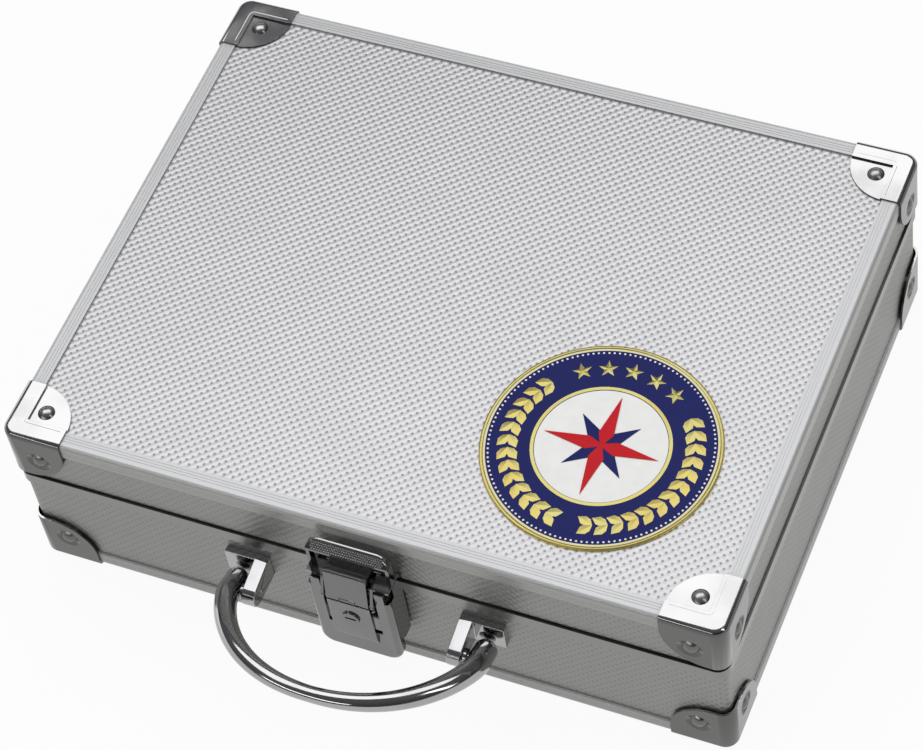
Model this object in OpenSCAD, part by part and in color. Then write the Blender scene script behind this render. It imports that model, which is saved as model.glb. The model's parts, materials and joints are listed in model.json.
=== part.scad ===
// Coin display case: a small aluminium case with edge rails, riveted corner caps, a bail handle,
// a keyed latch and a stack of coin trays. Millimetres, +Z up, the front looks along -Y.
// The origin is on the surface that the case stands on, under the middle of its whole outline.

/* [Case] */
// Width over the edge rails
case_w = 245; // [200:1:320]
// Depth over the edge rails, front to back
case_d = 192; // [160:1:260]
// Height over the edge rails, lid closed
case_h = 69.6; // [66:0.2:76]
// Height of the seam between base and lid above the bottom rails
seam_h = 46.5; // [44:0.5:48]
// Gap left at the seam
seam_gap = 0.6; // [0.4:0.1:1]
// Thickness of the panels
board_t = 3.6; // [3:0.2:4]

/* [Edge rails] */
// Width of a rail on each of its two faces
rail_w = 5.8; // [5:0.2:7]
// Thickness of the rail, which stands proud of the panels
rail_t = 0.8; // [0.6:0.1:1]
// Radius of the rail's outer edge
rail_r = 1.6; // [1.2:0.1:2]
// Depth of the fine grooves along a rail
groove_d = 0.1; // [0.1:0.05:0.3]

/* [Rims] */
// Height of the rim strip on the outside of the base
rim_h = 4.5; // [3:0.5:6]
// Thickness of the rim over the wall's edge
rim_t = 1.2; // [0.8:0.1:1.6]
// Height of the lip on the base that the lid closes over
lip_h = 3; // [2:0.5:4]

/* [Corner caps] */
// Length of each leg of a corner cap
cap_leg = 20.7; // [18:0.1:24]
// Sheet thickness of a corner cap
cap_t = 0.7; // [0.5:0.1:0.9]
// Radius that rounds off each flange
cap_r = 15; // [12:0.5:15.5]
// Radius of the cap round the upright edge of the case
cap_upright_r = 4.8; // [4:0.1:5.5]

/* [Rivets] */
// Radius of a domed rivet head
rivet_r = 2.85; // [2.4:0.05:3.2]
// Height of a domed rivet head
rivet_h = 1.5; // [1:0.1:1.8]
// Radius of a rivet shank
shank_r = 1.5; // [1:0.1:1.8]

/* [Badge] */
// Radius of the round badge on the lid
badge_r = 38.5; // [30:0.5:44]
// Thickness of the badge
badge_t = 1; // [0.6:0.1:1.4]

/* [Handle] */
// Half the distance between the handle's legs at their pivots
handle_a = 43.3; // [43:0.1:44]
// Radius of the handle at its legs
leg_r = 3.95; // [3.4:0.05:4]
// Radius of the handle at the middle of its crown
crown_r = 2.65; // [2.4:0.05:3.2]
// Reach of the handle from its pivots to the middle of its crown
handle_reach = 34.2; // [32:0.1:36]
// Angle of the handle above level when at rest
handle_rest = 16.5; // [0:0.5:25]
// Distance of the handle's pivot in front of the case
pivot_out = 10.3; // [10:0.1:10.8]
// Height of the handle's pivot above the bottom rails
pivot_z = 30; // [28:0.5:32]

/* [Latch] */
// Outer width of the latch
latch_w = 28.4; // [28:0.1:29]
// Distance of the latch cover's face in front of the case
cover_out = 9.5; // [9:0.1:10]
// Height of the thumb tab's top above the bottom rails
tab_top = 64.7; // [63:0.1:66]
// Radius of the lock barrel
barrel_r = 2.9; // [2.5:0.1:3.2]

/* [Hinges] */
// Distance of each hinge from the middle of the case
hinge_x = 75; // [50:1:90]
// Width of a hinge
hinge_w = 30; // [24:1:40]
// Radius of a hinge knuckle
knuckle_r = 2.4; // [2:0.1:2.4]

/* [Trays] */
// Height of one coin tray
tray_h = 8.4; // [8:0.1:8.4]
// Coin pockets along the width
pockets_x = 5; // [4:1:7]
// Coin pockets along the depth
pockets_y = 4; // [3:1:6]
// Depth of a coin pocket
pocket_d = 3.6; // [3:0.1:3.8]
// Thickness of the ribs between pockets
tray_rib = 3.4; // [2.5:0.1:5]

/* [Hidden] */
$fn = 64;
eps = 0.01;
far = 400;

// Levels and faces
rail_z0 = cap_t;
rail_z1 = cap_t + case_h;
base_top = rail_z0 + seam_h - seam_gap / 2;
lid_bottom = base_top + seam_gap;
hinge_z = rail_z0 + seam_h;
half_w = case_w / 2;
wall = rail_t + board_t;

// The outline's middle, front to back, is at the origin
hinge_out = 2.6;
handle_out = pivot_out + handle_reach * cos(handle_rest) + crown_r;
front_y = (handle_out - hinge_out - knuckle_r - case_d) / 2;
back_y = front_y + case_d;

// Lining, trays and pad
lining_t = 1.2;
lid_lining_t = 0.8;
lip_t = 1;
lip_gap = 0.3;
lid_band_h = 6;
tray_gap = 0.5;
lip_inset = wall + lining_t + lip_gap;
tray_inset = lip_inset + lip_t + tray_gap;
tray_w = case_w - 2 * tray_inset;
tray_d = case_d - 2 * tray_inset;
tray_count = 6;
floor_z = rail_z0 + wall + lining_t;
tray_floor_t = 1;
pad_gap = 0.4;
pad_inset = wall + lid_lining_t + 0.8;
pad_z0 = floor_z + tray_count * tray_h + pad_gap;
pad_z1 = rail_z1 - wall;

// Rivets: places on a corner, and how deep the heads sit under the rail's face
rivet_in = 11;
rivet_up = 12;
seat_in = 0.1;
flat_h = 0.7;
hinge_rivet_x = 9;
base_hinge_rivet_z = hinge_z - 9;
lid_hinge_rivet_z = hinge_z + 8;
hinge_leaf_t = 0.9;
latch_rivet_z = [rail_z0 + 25, rail_z0 + 39];
bracket_rivet_x = 42.5;
catch_rivet_x = 6;
catch_rivet_z = rail_z0 + 55;

// Latch: levels above the bottom rails, and distances out from the front of the rails
latch_wall = 1.2;
lever_gap = 0.3;
lever_in = 2.9;
lever_out = 5.6;
cover_hw = latch_w / 2 + 0.1;
cover_neck_hw = 12.5;
cover_neck_z = rail_z0 + 46;
cover_z0 = rail_z0 + 11.4;
cover_z1 = rail_z0 + 50.6;
plate_z0 = rail_z0 + 19.8;
plate_z1 = rail_z0 + 45.5;
window_hw = 9.3;
window_z0 = rail_z0 + 26.5;
face_hw = 7.4;
claw_hw = 7.3;
latch_axis = [9.9, rail_z0 + 43.9];
latch_pin_r = 0.6;
latch_knuckle_r = 1.15;
fixed_knuckle_hw = 2.6;
lock_z = rail_z0 + 34.5;
run_gap = 0.05;
arm_x = [8, 9];
shelf_z = rail_z0 + 51;
shelf_t = 1;

// Moves a shape drawn as x = out from the front, y = up, and gives it a width along X
module across(x0, x1) {
    translate([x0, front_y, 0]) rotate([90, 0, -90]) mirror([0, 0, 1])
        linear_extrude(x1 - x0) children();
}

module both_sides() {
    children();
    mirror([1, 0, 0]) children();
}

// Rounded rectangle of the case's outline, drawn in from the rails' faces by inset
module outline(inset, r) {
    w = case_w - 2 * inset;
    d = case_d - 2 * inset;
    translate([-w / 2, front_y + inset]) {
        translate([r, 0]) square([w - 2 * r, d]);
        translate([0, r]) square([w, d - 2 * r]);
        for (x = [r, w - r], y = [r, d - r]) translate([x, y]) circle(r);
    }
}

// Closed ring between two insets
module ring(inset0, inset1, z0, z1) {
    translate([0, 0, z0]) linear_extrude(z1 - z0) difference() {
        outline(inset0, max(wall - inset0, 0.5));
        outline(inset1, max(wall - inset1, 0.5));
    }
}

// Rivets. Drawn with the head's seat at z = 0 and the shank downwards.
module rivet(h, shank) {
    dome_r = (rivet_r * rivet_r + h * h) / (2 * h);
    intersection() {
        translate([0, 0, h - dome_r]) sphere(dome_r);
        cylinder(h = h, r = rivet_r + 1);
    }
    translate([0, 0, -shank]) cylinder(h = shank, r = shank_r);
}

module drill(shank) {
    translate([0, 0, -shank - 1]) cylinder(h = shank + 3, r = shank_r);
}

// Places a child on a face: the child's +Z looks out of that face
module on_front(x, out, z) { translate([x, front_y - out, z]) rotate([90, 0, 0]) children(); }
module on_back(x, out, z) { translate([x, back_y + out, z]) rotate([-90, 0, 0]) children(); }
module on_side(sx, y, z) {
    translate([sx * (half_w - seat_in), y, z]) rotate([0, sx * 90, 0]) children();
}

// The three rivets of each corner cap on one half of the case; children are the side rivet and the
// flat or domed one
module corner_spots(z_side, z_flat, down) {
    for (sx = [-1, 1]) {
        on_front(sx * (half_w - rivet_in), -seat_in, z_side) children(0);
        on_back(sx * (half_w - rivet_in), -seat_in, z_side) children(0);
        for (y = [front_y + rivet_in, back_y - rivet_in]) {
            on_side(sx, y, z_side) children(0);
            translate([sx * (half_w - rivet_in), y, z_flat]) rotate([down ? 180 : 0, 0, 0]) children(1);
        }
    }
}

base_side_z = rail_z0 + rivet_up;
base_flat_z = rail_z0 + seat_in;
lid_side_z = rail_z1 - rivet_up;
lid_flat_z = rail_z1 - seat_in;
side_shank = wall - seat_in;

module base_holes() {
    corner_spots(base_side_z, base_flat_z, true) { drill(side_shank); drill(side_shank); }
    for (sx = [-1, 1], s = [-1, 1])
        on_back(sx * hinge_x + s * hinge_rivet_x, hinge_leaf_t, base_hinge_rivet_z) drill(wall + 2);
    for (z = latch_rivet_z) on_front(0, 0, z) drill(wall + 1);
    for (sx = [-1, 1]) on_front(sx * bracket_rivet_x, 0, rail_z0 + pivot_z) drill(wall + 1);
}

module lid_holes() {
    corner_spots(lid_side_z, lid_flat_z, false) { drill(side_shank); drill(side_shank); }
    for (sx = [-1, 1], s = [-1, 1])
        on_back(sx * hinge_x + s * hinge_rivet_x, hinge_leaf_t, lid_hinge_rivet_z) drill(wall + 2);
    for (sx = [-1, 1]) on_front(sx * catch_rivet_x, 0, catch_rivet_z) drill(wall + 1);
}

module base_rivets() {
    color("gainsboro") {
        corner_spots(base_side_z, base_flat_z, true) {
            rivet(rivet_h, side_shank);
            rivet(flat_h, side_shank);
        }
        for (sx = [-1, 1], s = [-1, 1])
            on_back(sx * hinge_x + s * hinge_rivet_x, hinge_leaf_t, base_hinge_rivet_z)
                rivet(rivet_h, wall + hinge_leaf_t);
        for (z = latch_rivet_z) on_front(0, latch_wall, z) rivet(flat_h, wall + latch_wall);
        for (sx = [-1, 1])
            on_front(sx * bracket_rivet_x, bracket_plate, rail_z0 + pivot_z)
                rivet(flat_h, wall + bracket_plate);
    }
}

module lid_rivets() {
    color("gainsboro") {
        corner_spots(lid_side_z, lid_flat_z, false) {
            rivet(rivet_h, side_shank);
            rivet(rivet_h, side_shank);
        }
        for (sx = [-1, 1], s = [-1, 1])
            on_back(sx * hinge_x + s * hinge_rivet_x, hinge_leaf_t, lid_hinge_rivet_z)
                rivet(rivet_h, wall + hinge_leaf_t);
        for (sx = [-1, 1])
            on_front(sx * catch_rivet_x, catch_t - rail_t, catch_rivet_z)
                rivet(flat_h, wall + catch_t - rail_t);
    }
}

// Panels. The front and back panels run the full width and turn the corner.
module end_panel(y0, z0, z1, s) {
    h = z1 - z0;
    w = case_w - 2 * rail_t;
    // s is -1 for the front panel and 1 for the back one: the rounded edges face that way
    translate([0, y0, z0]) linear_extrude(h) {
        translate([-w / 2 + board_t, 0]) square([w - 2 * board_t, board_t]);
        for (x = [-w / 2 + board_t, w / 2 - board_t]) intersection() {
            translate([x, s < 0 ? board_t : 0]) circle(board_t);
            translate([x < 0 ? -w / 2 : x, 0]) square(board_t);
        }
    }
}

module side_panel(sx, z0, z1) {
    x0 = sx < 0 ? -half_w + rail_t : half_w - wall;
    translate([x0, front_y + wall, z0]) cube([board_t, case_d - 2 * wall, z1 - z0]);
}

module flat_panel(z0) {
    translate([-half_w + wall, front_y + wall, z0]) cube([case_w - 2 * wall, case_d - 2 * wall, board_t]);
}

base_z0 = rail_z0 + rail_t;
base_z1 = base_top - rim_t;
lid_z0 = lid_bottom + rail_t;
lid_z1 = rail_z1 - rail_t;

module base_panel() {
    color("silver") difference() {
        children();
        base_holes();
    }
}

module lid_panel() {
    color("silver") difference() {
        children();
        lid_holes();
    }
}

module base_bottom_panel() { base_panel() flat_panel(base_z0); }
module base_front_panel() { base_panel() end_panel(front_y + rail_t, base_z0, base_z1, -1); }
module base_back_panel() { base_panel() end_panel(back_y - wall, base_z0, base_z1, 1); }
module base_side_panel(sx) { base_panel() side_panel(sx, base_z0, base_z1); }
module lid_top_panel() { lid_panel() flat_panel(lid_z1 - board_t); }
module lid_front_panel() { lid_panel() end_panel(front_y + rail_t, lid_z0, lid_z1, -1); }
module lid_back_panel() { lid_panel() end_panel(back_y - wall, lid_z0, lid_z1, 1); }
module lid_side_panel(sx) { lid_panel() side_panel(sx, lid_z0, lid_z1); }

// Edge rails: an angle section with a rounded outer edge and fine grooves on both faces.
// Drawn in the quadrant x > 0, y > 0, with the outer corner at the origin.
module rail_section() {
    difference() {
        union() {
            translate([rail_r, 0]) square([rail_w - rail_r, rail_t]);
            translate([0, rail_r]) square([rail_t, rail_w - rail_r]);
            intersection() {
                translate([rail_r, rail_r]) circle(rail_r);
                square(rail_r);
            }
        }
        translate([rail_t, rail_t]) square(rail_w);
        for (x = [rail_w * 0.45, rail_w * 0.62, rail_w * 0.79]) {
            translate([x, -eps]) square([groove_d * 1.5, groove_d + eps]);
            translate([-eps, x]) square([groove_d + eps, groove_d * 1.5]);
        }
    }
}

rail_end = 7;

// Front and back rails along X. sy is the face and sz the edge: -1 front or bottom, 1 back or top.
module long_rail(sy, sz) {
    l = case_w - 2 * rail_end;
    color("lightgray") translate([-l / 2, sy < 0 ? front_y : back_y, sz < 0 ? rail_z0 : rail_z1])
        scale([1, -sy, -sz]) rotate([90, 0, 90]) linear_extrude(l) rail_section();
}

// Side rails along Y
module short_rail(sx, sz) {
    l = case_d - 2 * rail_end;
    color("lightgray") translate([sx * half_w, front_y + rail_end + l, sz < 0 ? rail_z0 : rail_z1])
        scale([-sx, 1, -sz]) rotate([90, 0, 0]) linear_extrude(l) rail_section();
}

module base_rim_frame() {
    color("lightgray") {
        ring(0, rail_t, base_top - rim_h, base_top);
        ring(0, lip_inset + lip_t, base_top - rim_t, base_top);
        ring(lip_inset, lip_inset + lip_t, base_top - rim_t, base_top + lip_h);
    }
}

module lid_rim_frame() {
    color("lightgray") {
        ring(rail_t, wall + lining_t, lid_bottom, lid_bottom + rail_t);
        ring(wall, wall + lining_t, lid_bottom, lid_bottom + lid_band_h);
    }
}

// Corner cap, drawn for the corner at the origin with the case in x > 0, y > 0, z > 0. Its own faces
// are the planes x = -cap_t, y = -cap_t and z = -cap_t; z is measured in from the top or bottom.
module round_square(inset, size, r) {
    translate([inset + r, inset]) square([size - inset - r, size - inset]);
    translate([inset, inset + r]) square([size - inset, size - inset - r]);
    translate([inset + r, inset + r]) circle(r);
}

// A block with a round upright edge and round top edges that run on round the corner
module corner_block(inset, size, upright_r, edge_r) {
    l = size - inset;
    in = inset + edge_r;
    turn = inset + upright_r;
    translate([0, 0, in]) linear_extrude(size - in) round_square(inset, size, upright_r);
    translate([0, 0, inset]) linear_extrude(l) round_square(in, size, upright_r - edge_r);
    translate([turn, in, in]) rotate([0, 90, 0]) cylinder(h = size - turn, r = edge_r);
    translate([in, turn, in]) rotate([-90, 0, 0]) cylinder(h = size - turn, r = edge_r);
    translate([turn, turn, in]) rotate_extrude() translate([upright_r - edge_r, 0]) circle(edge_r);
}

module flange_shape() {
    translate([-1, -1]) square([cap_leg - cap_r + 1, cap_leg + 1]);
    translate([-1, -1]) square([cap_leg + 1, cap_leg - cap_r + 1]);
    translate([cap_leg - cap_r, cap_leg - cap_r]) circle(cap_r);
}

module flange_prisms(depth) {
    translate([0, 0, -1]) linear_extrude(rail_r + cap_t + 1) flange_shape();
    translate([-1, 0, 0]) rotate([90, 0, 90]) linear_extrude(depth) flange_shape();
    translate([0, depth - 1, 0]) rotate([90, 0, 0]) linear_extrude(depth) flange_shape();
}

cap_edge_r = 1.4;
dimple_r = 4.3;

module side_rivet_spot() {
    translate([rivet_in, 0, rivet_up]) rotate([90, 0, 0]) children();
    translate([0, rivet_in, rivet_up]) rotate([0, -90, 0]) children();
}

module corner_cap() {
    step = rail_w + cap_t;
    difference() {
        union() {
            difference() {
                intersection() {
                    corner_block(-cap_t, cap_leg, cap_upright_r, cap_edge_r + cap_t);
                    flange_prisms(cap_upright_r + 1);
                }
                corner_block(0, cap_leg + 2, cap_upright_r - cap_t, cap_edge_r);
                translate([rail_w, rail_w, -cap_t - 1]) cube([cap_leg, cap_leg, cap_t + 1 + eps]);
            }
            // The flat flange steps down off the rail onto the panel
            intersection() {
                linear_extrude(far, center = true) flange_shape();
                difference() {
                    translate([rail_w, rail_w, -cap_t]) cube([cap_leg, cap_leg, rail_t + cap_t]);
                    translate([step, step, -cap_t - 1]) cube([cap_leg, cap_leg, 1 + seat_in + cap_t]);
                }
            }
            side_rivet_spot() translate([0, 0, -rail_t]) cylinder(h = rail_t + eps, r = dimple_r + 0.4);
        }
        side_rivet_spot() translate([0, 0, -seat_in])
            cylinder(h = cap_t + seat_in + eps, r1 = rivet_r, r2 = dimple_r);
        side_rivet_spot() drill(rail_t);
        translate([rivet_in, rivet_in, -1]) cylinder(h = 4, r = shank_r);
    }
}

module placed_cap(sx, sy, sz) {
    color("whitesmoke")
        translate([sx * half_w, sy < 0 ? front_y : back_y, sz < 0 ? rail_z0 : rail_z1])
            scale([-sx, -sy, -sz]) corner_cap();
}

// Inside of the case
module base_lining() {
    color("darkred") {
        translate([-half_w + wall, front_y + wall, rail_z0 + wall])
            cube([case_w - 2 * wall, case_d - 2 * wall, lining_t]);
        ring(wall, wall + lining_t, rail_z0 + wall, base_z1);
    }
}

module lid_lining() {
    color("darkred") ring(wall, wall + lid_lining_t, lid_bottom + lid_band_h, pad_z1);
}

module lid_pad() {
    color("darkred") translate([-half_w + pad_inset, front_y + pad_inset, pad_z0])
        cube([case_w - 2 * pad_inset, case_d - 2 * pad_inset, pad_z1 - pad_z0]);
}

module coin_tray(i) {
    pitch_x = (tray_w - tray_rib) / pockets_x;
    pitch_y = (tray_d - tray_rib) / pockets_y;
    pocket = min(pitch_x, pitch_y) - tray_rib;
    z0 = floor_z + (i - 1) * tray_h;
    color("maroon") translate([-tray_w / 2, front_y + tray_inset, z0]) difference() {
        cube([tray_w, tray_d, tray_h]);
        for (ix = [0 : pockets_x - 1], iy = [0 : pockets_y - 1])
            translate([tray_rib / 2 + (ix + 0.5) * pitch_x, tray_rib / 2 + (iy + 0.5) * pitch_y, 0]) {
                translate([-pocket / 2, -pocket / 2, tray_h - pocket_d]) cube([pocket, pocket, pocket_d + 1]);
                translate([-pocket / 2, -pocket / 2, -1])
                    cube([pocket, pocket, tray_h - pocket_d - tray_floor_t + 1]);
            }
    }
}

// Badge: a printed disc in a raised rim
badge_at = [186 - case_w / 2, front_y + 53.2];
badge_rim = 1.6;

module badge() {
    color("gold") translate([badge_at[0], badge_at[1], lid_z1]) difference() {
        cylinder(h = badge_t, r = badge_r, $fn = 96);
        translate([0, 0, badge_t - 0.25]) cylinder(h = 1, r = badge_r - badge_rim, $fn = 96);
    }
}

// Handle, drawn in its own plane: x along the case, y away from the pivots. Each half of its centre
// line is one cubic curve, and the rod gets thinner from the leg to the crown.
curve_steps = 14;
rod_sides = 20;
taper_power = 1.5;
handle_pin_r = 1.5;
leg_splay = [1.5, 3.4];
crown_pull = 34.4;

function curve_point(t) =
    pow(1 - t, 3) * [handle_a, 0] + 3 * pow(1 - t, 2) * t * [handle_a + leg_splay[0], leg_splay[1]]
    + 3 * (1 - t) * t * t * [crown_pull, handle_reach] + pow(t, 3) * [0, handle_reach];

function curve_radius(t) = leg_r + (crown_r - leg_r) * pow(t, taper_power);

// Rings from the rounded end of a leg to the crown, each as x, y and radius
leg_end = [[-7.3, 0.5], [-6.9, 0.78], [-6, 0.93], [-4.4, 1], [-2, 1]];
half_rings = concat(
    [for (e = leg_end) [handle_a, e[0], leg_r * e[1]]],
    [for (i = [0 : curve_steps]) [each curve_point(i / curve_steps), curve_radius(i / curve_steps)]]
);
rings = concat(
    half_rings,
    [for (i = [len(half_rings) - 2 : -1 : 0]) [-half_rings[i][0], half_rings[i][1], half_rings[i][2]]]
);
last_ring = len(rings) - 1;

function heading(i) =
    let (a = rings[max(i - 1, 0)], b = rings[min(i + 1, last_ring)], d = [b[0] - a[0], b[1] - a[1]])
    d / norm(d);

function ring_points(i) =
    let (c = rings[i], d = heading(i))
    [for (k = [0 : rod_sides - 1]) let (a = 360 * k / rod_sides)
        [c[0] - d[1] * c[2] * cos(a), c[1] + d[0] * c[2] * cos(a), c[2] * sin(a)]];

module handle_rod() {
    n = rod_sides;
    polyhedron(
        points = [for (i = [0 : last_ring]) each ring_points(i)],
        faces = concat(
            [[for (k = [0 : n - 1]) k]],
            [[for (k = [n - 1 : -1 : 0]) last_ring * n + k]],
            [for (i = [0 : last_ring - 1], k = [0 : n - 1])
                [i * n + k, (i + 1) * n + k, (i + 1) * n + (k + 1) % n]],
            [for (i = [0 : last_ring - 1], k = [0 : n - 1])
                [i * n + k, (i + 1) * n + (k + 1) % n, i * n + (k + 1) % n]]
        )
    );
}

module handle() {
    color("gainsboro") translate([0, front_y - pivot_out, rail_z0 + pivot_z]) rotate([-handle_rest, 0, 0])
        mirror([0, 1, 0]) difference() {
            handle_rod();
            rotate([0, 90, 0]) cylinder(h = 2 * pin_hole_x, r = handle_pin_r + run_gap, center = true);
        }
}

// Handle brackets: a plate, and an arm on its inner side with a round end that holds the pin
bracket_x = [33.35, 48.6];
bracket_arm_x = 38;
bracket_plate = 1.6;
bracket_end_r = 4;
bracket_top = 36.2;
collar_x = [bracket_arm_x, 39.1];
collar_r = 2.6;
pin_end_x = 45.5;
pin_hole_x = 46;

module arm_shape() {
    hull() {
        translate([-rail_t, pivot_z - bracket_end_r]) square([rail_t, bracket_top - pivot_z + bracket_end_r]);
        translate([0, bracket_top - 1]) square([bracket_plate, 1]);
        translate([pivot_out, pivot_z]) circle(bracket_end_r);
    }
}

module bracket() {
    plate_h = bracket_top - pivot_z + bracket_end_r;
    color("gainsboro") translate([0, 0, rail_z0]) difference() {
        union() {
            across(bracket_x[0], bracket_arm_x) arm_shape();
            across(bracket_x[0], bracket_x[1])
                translate([-rail_t, pivot_z - bracket_end_r]) square([rail_t + bracket_plate, plate_h]);
        }
        on_front(bracket_rivet_x, 0, pivot_z) drill(wall + 1);
        pin_cylinder(0, bracket_x[1], handle_pin_r);
    }
}

// Along the handle's axis, for the right-hand side; z is above the bottom rails
module pin_cylinder(x0, x1, r) {
    translate([x0, front_y - pivot_out, pivot_z]) rotate([0, 90, 0]) cylinder(h = x1 - x0, r = r);
}

module handle_pins() {
    color("gainsboro") both_sides() translate([0, 0, rail_z0]) {
        pin_cylinder(bracket_x[0], pin_end_x, handle_pin_r);
        pin_cylinder(collar_x[0], collar_x[1], collar_r);
    }
}

// Latch. Its fixed base is a plate with two walls, and the cover stands on their front edges.
wall_foot_r = 2;

module latch_base() {
    hw = latch_w / 2;
    color("gainsboro") difference() {
        union() {
            translate([-hw, front_y - latch_wall, plate_z0]) cube([latch_w, latch_wall, plate_z1 - plate_z0]);
            both_sides() across(hw - latch_wall, hw) {
                translate([0, plate_z0 + wall_foot_r]) square([lever_out, cover_z1 - plate_z0 - wall_foot_r]);
                translate([0, plate_z0]) square([lever_out - wall_foot_r, wall_foot_r + eps]);
                translate([lever_out - wall_foot_r, plate_z0 + wall_foot_r]) circle(wall_foot_r);
            }
        }
        for (z = latch_rivet_z) on_front(0, 0, z) drill(wall);
    }
}

cover_corner_r = 5;
cover_edge_r = 1.8;

module cover_outline(hw, z0, r, z1) {
    translate([-hw, z0 + r]) square([2 * hw, z1 - z0 - r]);
    translate([-hw + r, z0]) square([2 * hw - 2 * r, r + 1]);
    for (x = [-hw + r, hw - r]) translate([x, z0 + r]) circle(r);
}

// The cover as a full block, with round edges that run on round its lower corners
module cover_block(inset, z1) {
    hw = cover_hw - inset;
    z0 = cover_z0 + inset;
    r = cover_corner_r - inset;
    edge_r = cover_edge_r - inset / 2;
    out = cover_out - inset;
    translate([0, front_y, 0]) rotate([90, 0, 0]) {
        linear_extrude(out - edge_r) cover_outline(hw, z0, r, z1);
        linear_extrude(out) cover_outline(hw - edge_r, z0 + edge_r, r - edge_r, z1);
        translate([0, 0, out - edge_r]) {
            translate([-hw + r, z0 + edge_r, 0]) rotate([0, 90, 0]) cylinder(h = 2 * hw - 2 * r, r = edge_r);
            for (sx = [-1, 1]) {
                translate([sx * (hw - edge_r), z0 + r, 0]) rotate([-90, 0, 0])
                    cylinder(h = z1 - z0 - r, r = edge_r);
                translate([sx * (hw - r), z0 + r, 0]) rotate([0, 0, sx < 0 ? 180 : 270])
                    rotate_extrude(angle = 90) translate([r - edge_r, 0]) circle(edge_r);
            }
        }
    }
}

module latch_cover() {
    color("gainsboro") difference() {
        cover_block(0, cover_z1);
        cover_block(latch_wall, cover_z1 + 1);
        translate([-far / 2, front_y - lever_out, 0]) cube(far);
        translate([-window_hw, front_y - far, window_z0]) cube([2 * window_hw, 2 * far, far]);
        both_sides() translate([cover_neck_hw, front_y - far, cover_neck_z]) cube([far, 2 * far, far]);
    }
}

// Key plate in front of the cover, with the middle knuckle of the lever's hinge
face_z0 = rail_z0 + 20;
face_z1 = rail_z0 + 42.4;
face_rise = [1.1, 1.5];
face_ramp = 3;
knuckle_front = latch_axis[0] + 0.7;

module latch_face() {
    out = cover_out;
    color("gainsboro") difference() {
        union() {
            across(-face_hw, face_hw) polygon([
                [out, face_z0], [out + face_rise[0], face_z0 + face_ramp], [out + face_rise[1], face_z1],
                [out, face_z1]
            ]);
            across(-fixed_knuckle_hw, fixed_knuckle_hw) {
                translate([out, face_z1 - 1]) square([knuckle_front - out, latch_axis[1] - face_z1 + 1]);
                translate(latch_axis) circle(latch_knuckle_r);
            }
        }
        on_front(0, 0, lock_z) cylinder(h = far, r = barrel_r + run_gap);
        latch_bore(latch_pin_r);
    }
}

module latch_bore(r) {
    translate([-far / 2, front_y - latch_axis[0], latch_axis[1]]) rotate([0, 90, 0]) cylinder(h = far, r = r);
}

module latch_pin() {
    color("dimgray") intersection() {
        latch_bore(latch_pin_r);
        cube([2 * arm_x[1], far, far], center = true);
    }
}

// Lever: two cheeks with a shelf each, a sloping thumb tab across the top, two arms on the pin, and
// a bar that carries the claw
tab_corner_r = 4;
tab_lip = lever_out + 0.3;
tab_drop = 3.1;
lip_drop = 4.2;
shelf_out = lever_out + 3;
bar_z = [rail_z0 + 47.8, rail_z0 + 49.8];
bar_out = [7.9, 8.9];

module latch_lever() {
    hw = latch_w / 2;
    top = rail_z0 + tab_top;
    color("gainsboro") difference() {
        union() {
            both_sides() {
                across(hw - latch_wall, hw)
                    translate([lever_in, shelf_z]) square([lever_out - lever_in, top - shelf_z - tab_drop]);
                across(arm_x[0], hw) translate([lever_in, shelf_z]) square([shelf_out - lever_in, shelf_t]);
                across(arm_x[0], arm_x[1]) {
                    polygon([
                        [shelf_out - 1.8, shelf_z + shelf_t], [shelf_out, shelf_z + shelf_t],
                        [latch_axis[0] + latch_knuckle_r * 0.8, latch_axis[1] + 0.8],
                        [latch_axis[0] - latch_knuckle_r, latch_axis[1]]
                    ]);
                    translate(latch_axis) circle(latch_knuckle_r);
                }
            }
            across(-arm_x[0] - eps, arm_x[0] + eps)
                translate([bar_out[0], bar_z[0]]) square([bar_out[1] - bar_out[0], bar_z[1] - bar_z[0]]);
            across(-hw, hw) polygon([
                [lever_in, top - tab_drop + 0.5], [lever_in, top], [lever_in + 0.5, top],
                [tab_lip, top - tab_drop], [tab_lip, top - lip_drop], [lever_out - 0.6, top - lip_drop]
            ]);
        }
        // Rounded upper corners
        both_sides() translate([hw - tab_corner_r, front_y + 1, top - tab_corner_r]) rotate([90, 0, 0])
            difference() {
                cube([far, far, far]);
                translate([0, 0, -1]) cylinder(h = far + 2, r = tab_corner_r);
            }
        latch_bore(latch_pin_r + run_gap);
    }
}

// Claw: a face plate above the key plate that turns back over the catch. Its outline goes up the
// front, back over the top, down the hook, and returns below and behind.
claw_z = rail_z0 + 56;
claw_front = [latch_axis[0] + 1.1, 9.3];
claw_back = latch_axis[0] - 0.1;
hook_t = 1.1;
hook_drop = 3.4;

module latch_claw() {
    low = latch_axis[1];
    color("gainsboro") difference() {
        across(-claw_hw, claw_hw) {
            polygon([
                [claw_front[0], low], [claw_front[1], claw_z], [claw_front[1] - 0.6, claw_z + 0.4],
                [lever_in, claw_z - 0.6], [lever_in, claw_z - hook_drop],
                [lever_in + hook_t, claw_z - hook_drop], [lever_in + hook_t, claw_z - 0.6 - hook_t],
                [claw_front[1] - 1.3, claw_z - 1], [bar_out[1], bar_z[1]], [bar_out[1], bar_z[0]],
                [claw_back, bar_z[0]], [claw_back, low]
            ]);
            translate(latch_axis) circle(latch_knuckle_r);
        }
        // Room for the key plate's knuckle
        intersection() {
            latch_bore(latch_knuckle_r + 0.2);
            cube([2 * fixed_knuckle_hw + 0.4, far, far], center = true);
        }
        latch_bore(latch_pin_r + run_gap);
    }
}

// Catch: a plate on the lid with a tongue that turns up in front of the claw's hook
catch_t = 1;
catch_hw = 9.5;
catch_z = [rail_z0 + 48.4, rail_z0 + 57.2];
tongue_z = [rail_z0 + 49.8, rail_z0 + 52.4];
tongue_t = 0.9;

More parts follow.
